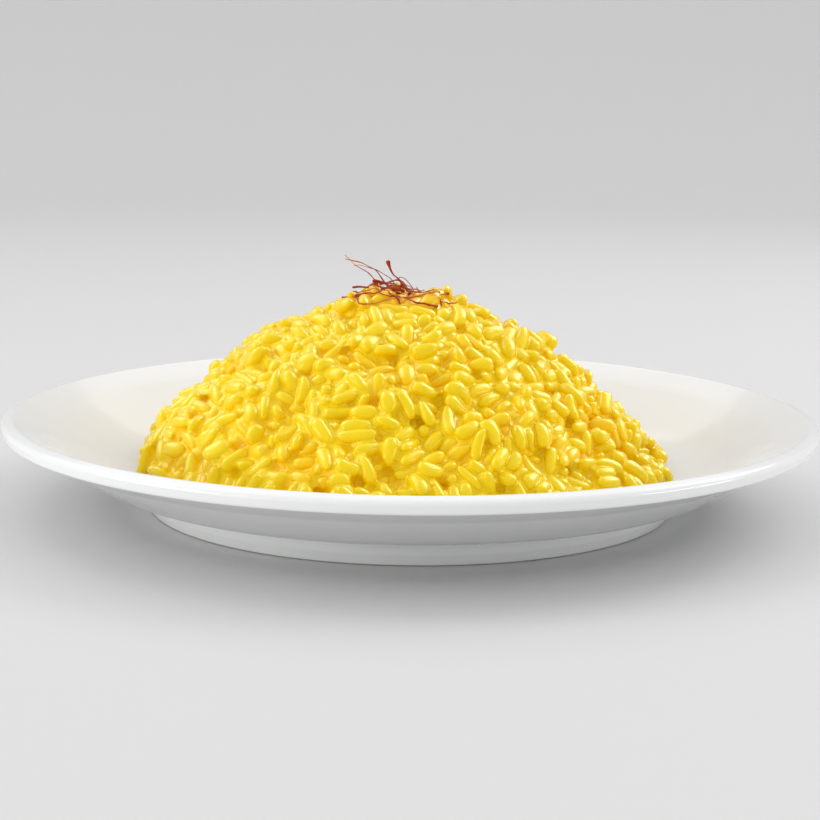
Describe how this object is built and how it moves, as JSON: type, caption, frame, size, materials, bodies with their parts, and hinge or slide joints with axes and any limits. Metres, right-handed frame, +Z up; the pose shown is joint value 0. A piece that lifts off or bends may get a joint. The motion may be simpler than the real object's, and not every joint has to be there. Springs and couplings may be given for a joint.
{
  "type": "saffron risotto in a plate",
  "caption": "Saffron risotto heaped in a deep rimmed white plate, with a loose tuft of saffron threads on its summit.",
  "frame": {"origin": "on the table under the plate's axis, at the level of the foot ring's flat face", "axes": "+Z up along the plate's turned axis; -Y faces the viewer; -X is the heap's steeper side"},
  "size_m": [0.24, 0.24, 0.0742],
  "materials": {
    "porcelain": "white glazed porcelain, gloss; the foot ring's land is unglazed",
    "rice": "cooked rice in saffron cream: wet, glossy and slightly see-through, golden yellow",
    "threads": "dried saffron threads, dark red with orange ends"
  },
  "bodies": {
    "root": {"plate": "porcelain", "risotto": "rice", "saffron": "threads"}
  },
  "joints": []
}
